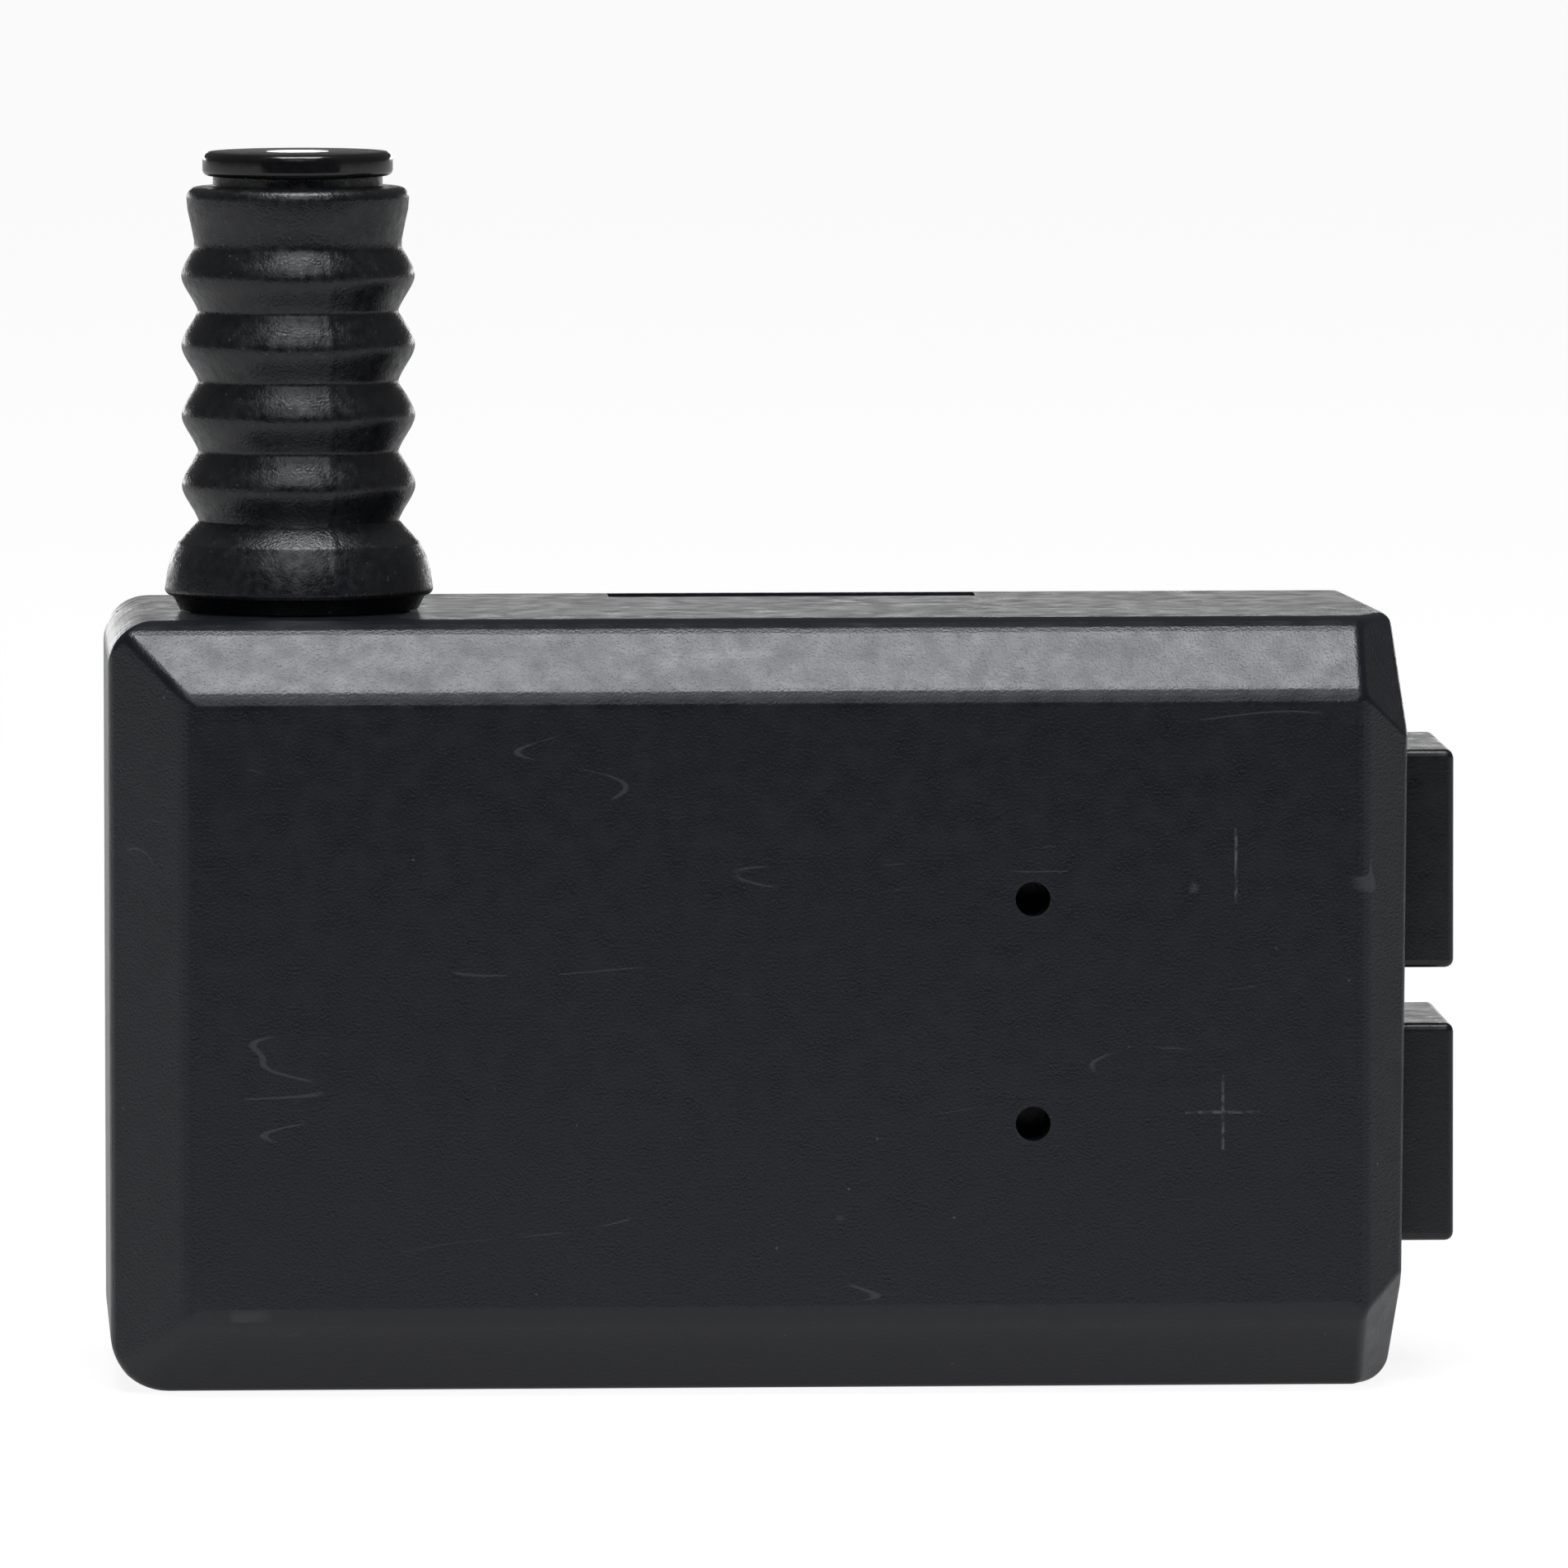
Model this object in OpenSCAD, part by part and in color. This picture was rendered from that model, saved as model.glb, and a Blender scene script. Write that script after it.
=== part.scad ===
// Sealed DC plunger switch: a moulded box with a bellows-booted push plunger on top
// and two shrouded blade terminals at one end. A spring-loaded pusher on the plunger
// rocks a copper contact against a fixed contact between two blow-out magnets.
// +Z is the way the plunger points, the bevelled front faces -Y, the terminals point to +X.
// Millimetres. Origin: bottom centre of the whole object.

/* [Body] */
// Length of the moulded body along X
body_w = 40; // [39.8:0.1:41]
// Depth of the body along Y
body_d = 16; // [15.8:0.1:16.4]
// Height of the body
body_h = 23.8; // [23.7:0.1:24.2]
// Width of the 45 degree bevel on the front's left and bottom edges
bevel = 2.4; // [1.8:0.1:2.4]
// Width of the bevel on the front's top edge
top_bevel = 2.25; // [1.8:0.05:2.4]
// Width of the bevel on the front's terminal side
side_bevel = 1.45; // [1:0.05:1.5]
// Side wall thickness
wall = 1.6; // [1.5:0.1:1.7]
// Thickness of the rear cover
cover_t = 2.6; // [2.5:0.1:2.8]

/* [Plunger] */
// Plunger axis, measured from the left wall
plunger_inset = 6; // [5.9:0.1:6.3]
// How far the plunger travels when pressed
travel = 5; // [4:0.1:5]
// Diameter of the push rod
rod_d = 4; // [3.8:0.1:4]
// Diameter of the cap on top of the rod
cap_d = 5.9; // [5.5:0.1:6.2]
// Height of the cap's top face above the bottom
plunger_top = 38; // [38:0.1:38.5]

/* [Boot] */
// Number of bellows folds
folds = 4; // [4]
// Distance from one fold to the next
fold_pitch = 2.17; // [2.1:0.01:2.17]
// Diameter over the folds
crest_d = 7.24; // [7:0.02:7.6]
// Diameter between the folds
valley_d = 6.22; // [6.1:0.02:6.4]
// Diameter of the skirt that sits on the body
skirt_d = 8.32; // [8.2:0.02:8.6]
// Rubber thickness
boot_t = 0.5; // [0.4:0.05:0.55]

/* [Terminals] */
// How far the shrouds stand out of the end wall
shroud_out = 1.6; // [1.2:0.05:2]
// Height of each shroud
shroud_h = 6.76; // [6.6:0.02:6.8]
// Width of each shroud across the body
shroud_d = 8.2; // [8:0.1:8.4]
// Height of the lower shroud's centre
shroud_z = 7.69; // [7.65:0.01:7.75]
// Spacing of the two shrouds
shroud_pitch = 8.48; // [8.4:0.02:8.5]
// Width of the terminal blade
blade_w = 4.8; // [4.8]
// Thickness of the blade and its strip
blade_t = 0.8; // [0.8]

/* [Contacts] */
// Swing of the contact rocker
swing = 18; // [14:1:18]
// Thickness of the rocker strip
rocker_t = 0.8; // [0.6:0.1:0.8]
// Width of the rocker strip
rocker_w = 5; // [4.6:0.1:5]
// Radius of the pusher pin
pusher_r = 1.5; // [1.4:0.05:1.5]

/* [Hidden] */
$fn = 64;

black_case = "#26272b";
black_rubber = "#1d1e20";
ivory = "#d9d2bd";
copper = "#b87648";
tinned = "#b9b7ae";
silver = "#d8d8d6";
steel = "#9ea2a6";

over = 1;              // how far a cutter runs past what it cuts
gap = 0.05;            // running gap between pieces that slide or turn
joint_gap = 0.02;      // gap between pieces that are fitted together

// Outer planes of the body.
left = -(body_w + shroud_out) / 2;
right = left + body_w;
front = -body_d / 2;
rear = body_d / 2;
mouth = right + shroud_out;

// Body outline seen from the front.
r_top_left = 1.4;
r_top_right = 0.4;
r_bottom_left = 1.8;
r_bottom_right = 0.9;
end_set_top = 0.31;    // the end wall's top corner stands back by this
end_set_low = 0.2;     // and its lower part by this
end_set_bottom = 0.42; // and its bottom corner by this
end_top_z = body_h - 3.3;
end_low_z = 3.2;
rear_chamfer = 0.5;
corner_slope = 0.5;    // how fast the facets at the terminal side's corners widen towards the back

// Inside of the body.
front_wall = 2;
end_wall = 2;
seam_y = rear - cover_t;
cavity_x0 = left + wall;
cavity_x1 = right - end_wall;
cavity_y0 = front + front_wall;
cavity_z0 = wall;
cavity_z1 = body_h - wall;
lip_t = 1;             // rear cover's locating lip
lip_in = 1;
lip_end = left + 31;
groove_inset = 0.4;    // sealant groove in the rear cover
groove_w = 0.8;
groove_deep = 0.5;
recess_x0 = left + 15.8;  // pry recess in the top of the rear cover
recess_x1 = left + 27.3;
recess_y1 = seam_y + 1.7;
recess_deep = 0.35;

// Plunger and its guide bush.
plunger_x = left + plunger_inset;
rod_r = rod_d / 2;
bush_r = 3.4;
bush_flange_r = 4.2;
bush_flange_t = 1.4;
bush_neck_r = 2.95;
bush_lip_r = 3.3;
bush_lip_z = body_h + 1.2;
bush_top = body_h + 1.95;
block_top = cavity_z1 - bush_flange_t - gap;
block_half_x = 2.9;
block_half_y = 3.4;
block_h = 6.8;
cap_t = 0.75;
cap_edge_r = 0.2;
cap_hub_r = 1.5;
cap_hub_t = 0.85;
spigot_r = 1;
spigot_h = 2.3;
rod_top = plunger_top - cap_t - cap_hub_t - gap;

// Return spring under the plunger block.
spring_wire_r = 0.22;
spring_r = 1.45;
spring_pocket_r = 1.95;
spring_pocket_h = 3;
spring_post_r = 1.1;
spring_post_h = 1.6;
spring_turns = 10;

// Pusher in the block's arm.
pivot_x = left + 17.4;
pivot_z = block_top - 3.65 - travel / 2;
pusher_z = pivot_z + travel / 2;
pusher_tip_x = pivot_x - 0.6;
arm_x1 = left + 15.3;
arm_half_y = 2.4;
arm_half_z = 2.1;
bore_x0 = plunger_x + spring_pocket_r + 0.35;
pusher_x0 = left + 11.5;
pusher_wire_r = 0.15;
pusher_spring_r = 1.05;
pusher_spring_turns = 6;

// Contact rocker, a shallow V of strip on two trunnions.
upper_leg = 4.2;
lower_leg = 7.6;
trunnion_r = 0.45;
contact_drop = 6.5;    // contact centre below the pivot, with the rocker closed
contact_r = 1.5;
contact_t = 0.6;
shank_r = 0.8;
shank_end = 0.3;

// Terminal strips.
common_leg_x = pivot_x + 0.52 + blade_t / 2;
common_leg_z0 = pivot_z - 1.2;
fixed_leg_x = pivot_x + rocker_t / 2 + 2 * (contact_t + joint_gap) + gap + blade_t / 2;
fixed_leg_z1 = pivot_z - 4.3;
strip_w = 6.4;
post_x = left + 28.35; // posts that anchor the strips, with core holes in the front wall
post_r = 1.5;
core_r = 0.535;
core_deep = 3;
lower_post_z = 8.36;
upper_post_z = 15.28;
upper_strip_z = upper_post_z + post_r + gap + blade_t / 2;
lower_strip_z = lower_post_z - post_r - gap - blade_t / 2;
joggle_x0 = post_x + post_r + 0.2;
joggle_x1 = joggle_x0 + 1.1;
blade_tip = mouth - 0.55;
blade_chamfer = 0.85;
blade_hole_r = 0.85;
blade_hole_in = 3.4;
ear_t = 0.8;
ear_y0 = rocker_w / 2 + 0.15;
ear_x0 = pivot_x - 1;

// Terminal shrouds.
shroud_wall = 0.9;
shroud_x0 = left + 31.9;
shoulder_x = shroud_x0 - 0.3; // where the strip narrows to its blade
shroud_flange_t = 1;
shroud_flange_h = shroud_pitch - 0.2;
seal_t = 1.2;
upper_z = shroud_z + shroud_pitch;

// Blow-out magnets on both sides of the contact gap.
magnet_x = 7;
magnet_z = 6;
magnet_y = 1.6;
magnet_cx = left + 17.6;
magnet_cz = 8.4;
magnet_frame = 0.8;

// ---------- shared helpers ----------

function arc(c, r, a0, a1, n = 6) =
    [for (i = [0 : n]) c + r * [cos(a0 + (a1 - a0) * i / n), sin(a0 + (a1 - a0) * i / n)]];
function turned_left(v) = [-v.y, v.x] / norm(v);
function mitre(a, b) = (a + b) / (1 + a * b);
function side_of(path, d) = let (last = len(path) - 1)
    [for (i = [0 : last])
        let (before = turned_left(path[max(i, 1)] - path[max(i, 1) - 1]),
             after = turned_left(path[min(i, last - 1) + 1] - path[min(i, last - 1)]))
        path[i] + d * mitre(before, after)];
function backwards(list) = [for (i = [len(list) - 1 : -1 : 0]) list[i]];
function strip_profile(path, t) = concat(side_of(path, t / 2), backwards(side_of(path, -t / 2)));

// Extrudes a profile drawn in X and Z along Y.
module along_y(y0, y1) {
    translate([0, y1, 0]) rotate([90, 0, 0]) linear_extrude(y1 - y0) children();
}

// Extrudes a profile drawn in Y and Z along X.
module along_x(x0, x1) {
    translate([x0, 0, 0]) rotate([90, 0, 90]) linear_extrude(x1 - x0) children();
}

module block(x, y, z) {
    translate([x[0], y[0], z[0]]) cube([x[1] - x[0], y[1] - y[0], z[1] - z[0]]);
}

module rod_along_y(x, z, r, y) {
    translate([x, y[1], z]) rotate([90, 0, 0]) cylinder(r = r, h = y[1] - y[0]);
}

module rod_along_x(x, y, z, r) {
    translate([x[0], y, z]) rotate([0, 90, 0]) cylinder(r = r, h = x[1] - x[0]);
}

// A helical wire round Z, from z = 0 up to length, whose end turns lie close together.
module coil(r, wire_r, length, turns, steps = 20, sides = 8) {
    rise = length - 2 * wire_r;
    close = 2 * wire_r * 1.05;
    count = turns * steps;
    function height(t) = t < 1 ? t * close
        : t > turns - 1 ? rise - (turns - t) * close
        : close + (t - 1) * (rise - 2 * close) / (turns - 2);
    rings = [for (i = [0 : count])
        let (a = 360 * i / steps, out = [cos(a), sin(a), 0], z = wire_r + height(i / steps))
        [for (k = [0 : sides - 1])
            (r + wire_r * cos(360 * k / sides)) * out + [0, 0, z + wire_r * sin(360 * k / sides)]]];
    points = [for (ring = rings) for (p = ring) p];
    walls = [for (i = [0 : count - 1]) for (k = [0 : sides - 1])
        let (a = i * sides + k, b = i * sides + (k + 1) % sides)
        [a, b, b + sides, a + sides]];
    ends = [[for (k = [sides - 1 : -1 : 0]) k], [for (k = [0 : sides - 1]) count * sides + k]];
    polyhedron(points, concat(walls, ends));
}

// ---------- case ----------

face_outline = concat(
    arc([left + r_bottom_left, r_bottom_left], r_bottom_left, 180, 270),
    arc([right - end_set_bottom - r_bottom_right, r_bottom_right], r_bottom_right, 270, 360),
    [[right - end_set_low, end_low_z], [right, end_top_z]],
    arc([right - end_set_top - r_top_right, body_h - r_top_right], r_top_right, 0, 90),
    arc([left + r_top_left, body_h - r_top_left], r_top_left, 90, 180));

side_profile = [
    [front, bevel], [front + bevel + over, -over],
    [rear - rear_chamfer - over, -over], [rear, rear_chamfer],
    [rear, body_h - rear_chamfer], [rear - rear_chamfer - over, body_h + over],
    [front + top_bevel + over, body_h + over], [front, body_h - top_bevel]];

plan_profile = [
    [left + bevel, front], [right - side_bevel, front],
    [right + over, front + side_bevel + over],
    [right + over, rear - rear_chamfer - over],
    [right - rear_chamfer, rear], [left + rear_chamfer, rear],
    [left - over, rear - rear_chamfer - over], [left - over, front + bevel + over]];

// Cuts the facet between the side bevel and the bevel that starts at height z, above or below it.
module corner_facet(z, up) {
    x0 = right - side_bevel;
    run = (side_bevel + over) / (corner_slope * sqrt(2));
    translate([0, front, z]) rotate([up * 45, 0, 0]) along_y(-body_d, body_d)
        polygon([[x0, 0], [right + over, -up * run], [right + over, up * over], [x0, up * over]]);
}

// The whole moulded body as one solid, cut to a range of Y.
module body_slice(y0, y1) {
    difference() {
        intersection() {
            along_y(y0, y1) polygon(face_outline);
            along_x(left - over, right + over) polygon(side_profile);
            translate([0, 0, -over]) linear_extrude(body_h + 2 * over) polygon(plan_profile);
        }
        corner_facet(body_h - top_bevel, 1);
        corner_facet(bevel, -1);
    }
}

// The opening in the end wall for a shroud, open to the rear.
module shroud_window(z) {
    block([cavity_x1 - over, right + over],
          [-shroud_d / 2 - joint_gap, seam_y + over],
          [z - shroud_h / 2 - joint_gap, z + shroud_h / 2 + joint_gap]);
}

// The rear cover's tongue that closes that opening behind the shroud.
module window_tongue(z) {
    intersection() {
        body_slice(shroud_d / 2 + joint_gap, seam_y + joint_gap);
        block([cavity_x1, right + over], [0, rear], [z - shroud_h / 2, z + shroud_h / 2]);
    }
}

module strip_ribs() {
    for (x = [left + 22.5, left + 26.2]) {
        block([x, x + 1.2], [cavity_y0 - joint_gap, 3], [cavity_z0 - joint_gap, lower_strip_z - 0.45]);
        block([x, x + 1.2], [cavity_y0 - joint_gap, 3], [upper_strip_z + 0.45, cavity_z1 + joint_gap]);
    }
}

module plunger_rails() {
    rail_z = [3, block_top - gap];
    for (x = [plunger_x - 2.1, plunger_x + 1.1])
        block([x, x + 1], [cavity_y0 - joint_gap, -block_half_y - 2 * gap], rail_z);
    block([cavity_x0 - joint_gap, plunger_x - block_half_x - 2 * gap], [-1, 1], rail_z);
}

module magnet_pocket() {
    difference() {
        block([magnet_cx - magnet_x / 2 - magnet_frame, magnet_cx + magnet_x / 2 + magnet_frame],
              [cavity_y0 - joint_gap, cavity_y0 + 1],
              [magnet_cz - magnet_z / 2 - magnet_frame, magnet_cz + magnet_z / 2 + magnet_frame]);
        block([magnet_cx - magnet_x / 2 - joint_gap, magnet_cx + magnet_x / 2 + joint_gap],
              [cavity_y0 - over, cavity_y0 + 1 + over],
              [magnet_cz - magnet_z / 2 - joint_gap, magnet_cz + magnet_z / 2 + joint_gap]);
    }
}

module housing() {
    color(black_case) difference() {
        union() {
            difference() {
                body_slice(front - over, seam_y);
                block([cavity_x0, cavity_x1], [cavity_y0, seam_y + over], [cavity_z0, cavity_z1]);
            }
            for (z = [lower_post_z, upper_post_z])
                rod_along_y(post_x, z, post_r, [cavity_y0 - joint_gap, 3.2]);
            translate([plunger_x, 0, cavity_z0 - joint_gap])
                cylinder(r = spring_post_r, h = spring_post_h + joint_gap);
            strip_ribs();
            plunger_rails();
            magnet_pocket();
        }
        translate([plunger_x, 0, cavity_z1 - over]) cylinder(r = bush_r + joint_gap, h = wall + 2 * over);
        for (z = [lower_post_z, upper_post_z])
            rod_along_y(post_x, z, core_r, [front - over, front + core_deep]);
        for (z = [shroud_z, upper_z]) shroud_window(z);
    }
}

module ring(inset, y0, y1) {
    x = [left + inset, right - end_set_bottom - inset];
    z = [inset, body_h - inset];
    block(x, [y0, y1], z);
}

module rear_cover() {
    inner = [seam_y - lip_in, seam_y + joint_gap];
    color(black_case) {
        for (z = [shroud_z, upper_z]) window_tongue(z);
        cover_plate(inner);
    }
}

module cover_plate(inner) {
    difference() {
        union() {
            body_slice(seam_y, rear + over);
            difference() {
                block([cavity_x0 + gap, lip_end], inner, [cavity_z0 + gap, cavity_z1 - gap]);
                block([cavity_x0 + gap + lip_t, lip_end + over],
                      [seam_y - lip_in - over, seam_y],
                      [cavity_z0 + gap + lip_t, cavity_z1 - gap - lip_t]);
            }
            for (x = [left + 24.4, left + 29.2])
                block([x, x + 1.2], [strip_w / 2 + gap, seam_y + joint_gap], [cavity_z0 + 2, cavity_z1 - 2]);
            block([plunger_x - 2, plunger_x + 2], [block_half_y + 2 * gap, seam_y + joint_gap],
                  [3, block_top - gap]);
        }
        difference() {
            ring(groove_inset, seam_y - over, seam_y + groove_deep);
            ring(groove_inset + groove_w, seam_y - 2 * over, seam_y + groove_deep + over);
        }
        block([magnet_cx - magnet_x / 2 - joint_gap, magnet_cx + magnet_x / 2 + joint_gap],
              [seam_y - over, seam_y + magnet_y + joint_gap],
              [magnet_cz - magnet_z / 2 - joint_gap, magnet_cz + magnet_z / 2 + joint_gap]);
        block([recess_x0, recess_x1], [seam_y - over, recess_y1], [body_h - recess_deep, body_h + over]);
    }
}

module seam_sealant() {
    inset = groove_inset + joint_gap;
    color("#3a3b3e") difference() {
        ring(inset, seam_y + joint_gap, seam_y + groove_deep - joint_gap);
        ring(inset + groove_w - 2 * joint_gap, seam_y - over, seam_y + groove_deep + over);
    }
}

// ---------- plunger, bush and boot ----------

module guide_bush() {
    color(ivory) translate([plunger_x, 0, 0]) rotate_extrude() polygon([
        [rod_r + gap, cavity_z1 - bush_flange_t],
        [bush_flange_r, cavity_z1 - bush_flange_t],
        [bush_flange_r, cavity_z1 - joint_gap],
        [bush_r, cavity_z1 - joint_gap],
        [bush_r, body_h],
        [bush_neck_r, body_h],
        [bush_neck_r, bush_lip_z],
        [bush_lip_r, bush_lip_z],
        [bush_lip_r - 0.3, bush_top],
        [rod_r + gap, bush_top]]);
}

crest_r = crest_d / 2;
valley_r = valley_d / 2;
skirt_r = skirt_d / 2;
foot_r = 3.7;          // the boot's foot, between its skirt and the body
crest_round = 0.32;    // 0 gives pointed folds, 1 nearly round ones
first_valley = body_h + 2.78;
last_valley = first_valley + folds * fold_pitch;
boot_top = plunger_top - cap_t - joint_gap;
boot_samples = 10;     // points round each fold

// Height of a fold between two valleys, for s from -1 to 1.
function fold_shape(s) =
    (sqrt(1 + crest_round * crest_round) - sqrt(s * s + crest_round * crest_round))
    / (sqrt(1 + crest_round * crest_round) - crest_round);
fold_line = [for (i = [0 : folds * boot_samples])
    let (s = 2 * (i % boot_samples) / boot_samples - 1)
    [valley_r + (crest_r - valley_r) * fold_shape(s), first_valley + fold_pitch * i / boot_samples]];

skirt_outer = [
    [foot_r, body_h + joint_gap], [foot_r, body_h + 0.45],
    [skirt_r - 0.22, body_h + 0.45], [skirt_r, body_h + 0.65], [skirt_r - 0.12, body_h + 1.3],
    [skirt_r - 0.36, body_h + 2], [skirt_r - 0.58, body_h + 2.3]];
collar_outer = [
    [crest_r - 0.3, last_valley + 0.55], [crest_r - 0.19, last_valley + 1.1],
    [crest_r - 0.22, last_valley + 1.45], [crest_r - 0.4, last_valley + 1.68],
    [valley_r - 0.55, last_valley + 1.75], [valley_r - 0.55, boot_top]];
boot_lip_z = plunger_top - cap_t - cap_hub_t;
inner_line = [for (p = backwards(fold_line)) [p.x - boot_t, p.y]];

module bellows_boot() {
    color(black_rubber) translate([plunger_x, 0, 0]) rotate_extrude() polygon(concat(
        skirt_outer, fold_line, collar_outer,
        [[cap_hub_r + gap, boot_top], [cap_hub_r + gap, boot_lip_z], [crest_r - 0.85, boot_lip_z]],
        inner_line,
        [[bush_lip_r + gap, bush_top + 0.05], [bush_lip_r + gap, bush_lip_z - gap],
         [bush_neck_r + gap, bush_lip_z - gap], [bush_neck_r + gap, body_h + joint_gap]]));
}

module plunger_cap() {
    cap_r = cap_d / 2;
    disc_z = plunger_top - cap_t;
    color("#141416") translate([plunger_x, 0, 0]) rotate_extrude() polygon(concat(
        [[0, disc_z - cap_hub_t - spigot_h], [spigot_r - joint_gap, disc_z - cap_hub_t - spigot_h],
         [spigot_r - joint_gap, disc_z - cap_hub_t], [cap_hub_r, disc_z - cap_hub_t],
         [cap_hub_r, disc_z]],
        arc([cap_r - cap_edge_r, disc_z + cap_edge_r], cap_edge_r, 270, 360, 4),
        arc([cap_r - cap_edge_r, plunger_top - cap_edge_r], cap_edge_r, 0, 90, 4),
        [[0, plunger_top]]));
}

module plunger_rod() {
    color(ivory) difference() {
        union() {
            translate([plunger_x, 0, block_top - over]) cylinder(r = rod_r, h = rod_top - block_top + over);
            block([plunger_x - block_half_x, plunger_x + block_half_x],
                  [-block_half_y, block_half_y], [block_top - block_h, block_top]);
            block([plunger_x, arm_x1], [-arm_half_y, arm_half_y],
                  [pusher_z - arm_half_z, pusher_z + arm_half_z]);
        }
        translate([plunger_x, 0, rod_top - spigot_h - 0.1]) cylinder(r = spigot_r, h = spigot_h + over);
        translate([plunger_x, 0, block_top - block_h - over])
            cylinder(r = spring_pocket_r, h = spring_pocket_h + over);
        rod_along_x([bore_x0, arm_x1 + over], 0, pusher_z, pusher_r + gap);
    }
}

module return_spring() {
    z0 = cavity_z0 + joint_gap;
    z1 = block_top - block_h + spring_pocket_h - joint_gap;
    color(steel) translate([plunger_x, 0, z0]) coil(spring_r, spring_wire_r, z1 - z0, spring_turns);
}

module pusher() {
    ball_x = pusher_tip_x - pusher_r;
    color(ivory) intersection() {
        union() {
            rod_along_x([pusher_x0, ball_x], 0, pusher_z, pusher_r);
            translate([ball_x, 0, pusher_z]) sphere(r = pusher_r);
        }
        block([pusher_x0, pusher_tip_x + over], [-over - pusher_r, pusher_r + over],
              [pusher_z - pusher_r - over, pusher_z + pusher_r + over]);
    }
}

module pusher_spring() {
    length = pusher_x0 - bore_x0 - 2 * joint_gap;
    color(steel) translate([bore_x0 + joint_gap, 0, pusher_z]) rotate([0, 90, 0])
        coil(pusher_spring_r, pusher_wire_r, length, pusher_spring_turns, 16, 6);
}

// ---------- contacts ----------

half_t = rocker_t / 2;
v_rise = half_t * tan(swing / 2);
leg_down = [-sin(swing), -cos(swing)];
leg_right = [cos(swing), -sin(swing)];
rocker_profile = [
    [half_t, upper_leg], [half_t, -v_rise],
    lower_leg * leg_down + half_t * leg_right, lower_leg * leg_down - half_t * leg_right,
    [-half_t, v_rise], [-half_t, upper_leg]];

module contact_rocker() {
    color(copper) translate([pivot_x, 0, pivot_z]) difference() {
        union() {
            along_y(-rocker_w / 2, rocker_w / 2) polygon(rocker_profile);
            for (y = [-1, 1])
                rod_along_y(0, 0, trunnion_r, y > 0 ? [rocker_w / 2 - 0.1, ear_y0 + ear_t]
                                                    : [-ear_y0 - ear_t, 0.1 - rocker_w / 2]);
        }
        rotate([0, swing, 0]) rod_along_x([-over, over], 0, -contact_drop, shank_r + joint_gap);
    }
}

// A rivet whose head faces +X, with its shank through a strip of thickness t behind it.
module contact_rivet(r, t) {
    rotate([0, 90, 0]) {
        cylinder(r = r, h = contact_t);
        translate([0, 0, -t - shank_end]) cylinder(r = shank_r, h = t + shank_end + 0.1);
    }
}

module moving_contact() {
    color(silver) translate([pivot_x, 0, pivot_z]) rotate([0, swing, 0])
        translate([half_t + joint_gap, 0, -contact_drop]) contact_rivet(contact_r, rocker_t);
}

module fixed_contact() {
    color(silver) translate([fixed_leg_x - blade_t / 2 - joint_gap, 0, pivot_z - contact_drop])
        mirror([1, 0, 0]) contact_rivet(contact_r + 0.1, blade_t);
}

// Half of the strip's outline seen from above, wide inside the body and narrow at the blade.
blade_side = [
    [left, strip_w / 2], [shoulder_x, strip_w / 2], [shoulder_x, blade_w / 2],
    [blade_tip - blade_chamfer, blade_w / 2], [blade_tip, blade_w / 2 - blade_chamfer]];
blade_outline = concat(blade_side, backwards([for (p = blade_side) [p.x, -p.y]]));

// A strip bent along a path in X and Z, with the blade at the path's end.
module blade_strip(path) {
    difference() {
        intersection() {
            along_y(-strip_w, strip_w) polygon(strip_profile(path, blade_t));
            linear_extrude(body_h) polygon(blade_outline);
        }
        translate([blade_tip - blade_hole_in, 0, path[len(path) - 1].y - over])
            cylinder(r = blade_hole_r, h = 2 * over);
    }
}

module negative_terminal() {
    path = [[common_leg_x, common_leg_z0], [common_leg_x, upper_strip_z], [joggle_x0, upper_strip_z],
            [joggle_x1, upper_z], [blade_tip, upper_z]];
    ear_x1 = common_leg_x + blade_t / 2;
    color(tinned) difference() {
        union() {
            blade_strip(path);
            for (y0 = [-ear_y0 - ear_t, ear_y0])
                block([ear_x0, ear_x1], [y0, y0 + ear_t], [pivot_z - 1.1, pivot_z + 1.1]);
        }
        rod_along_y(pivot_x, pivot_z, trunnion_r + gap, [-body_d / 2, body_d / 2]);
    }
}

module positive_terminal() {
    path = [[fixed_leg_x, fixed_leg_z1], [fixed_leg_x, lower_strip_z], [joggle_x0, lower_strip_z],
            [joggle_x1 + 0.4, shroud_z], [blade_tip, shroud_z]];
    color(tinned) difference() {
        blade_strip(path);
        rod_along_x([fixed_leg_x - over, fixed_leg_x + over], 0, pivot_z - contact_drop,
                    shank_r + joint_gap);
    }
}

// ---------- terminal shrouds and seals ----------

module terminal_shroud(z) {
    inner_y = shroud_d / 2 - shroud_wall;
    inner_z = shroud_h / 2 - shroud_wall;
    floor_x = shroud_x0 + shroud_wall;
    color("#202124") translate([0, 0, z]) difference() {
        union() {
            block([shroud_x0, mouth], [-shroud_d / 2, shroud_d / 2], [-shroud_h / 2, shroud_h / 2]);
            block([cavity_x1 - shroud_flange_t - joint_gap, cavity_x1 - joint_gap],
                  [cavity_y0 + gap, shroud_d / 2], [-shroud_flange_h / 2, shroud_flange_h / 2]);
        }
        block([floor_x, mouth + over], [-inner_y, inner_y], [-inner_z, inner_z]);
        block([shroud_x0 - over, floor_x + over],
              [-blade_w / 2 - gap, blade_w / 2 + gap], [-blade_t / 2 - gap, blade_t / 2 + gap]);
    }
}

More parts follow.
